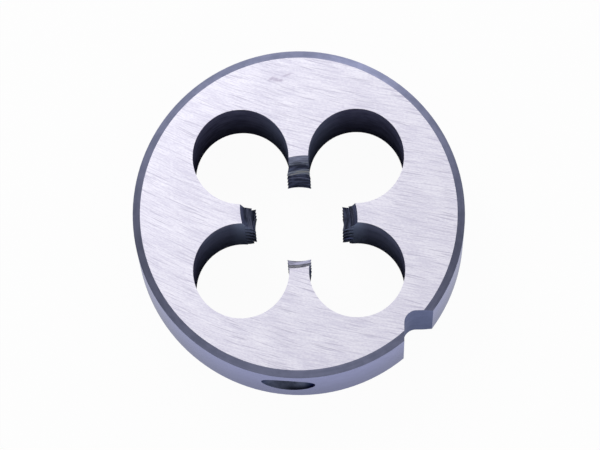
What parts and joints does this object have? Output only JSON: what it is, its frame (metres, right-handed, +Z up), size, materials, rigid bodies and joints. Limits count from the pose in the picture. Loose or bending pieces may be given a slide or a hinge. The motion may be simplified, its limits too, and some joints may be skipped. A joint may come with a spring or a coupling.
{
  "type": "round threading die",
  "caption": "Round die that cuts an outside thread on a rod: a thick steel disc with a threaded bore opened by chip holes, a notch and screw dimples in its rim.",
  "frame": {"origin": "on the bore's axis, in the plane of the lower face", "axes": "+Z up along the bore's axis; the four lands point along X and Y; the notch in the rim points halfway between +X and -Y"},
  "size_m": [0.038, 0.038, 0.014],
  "materials": {
    "tool_steel": "ground faces, darker turned rim, near-black chip holes and threads"
  },
  "bodies": {
    "root": {"round_die": "tool_steel"}
  },
  "joints": []
}
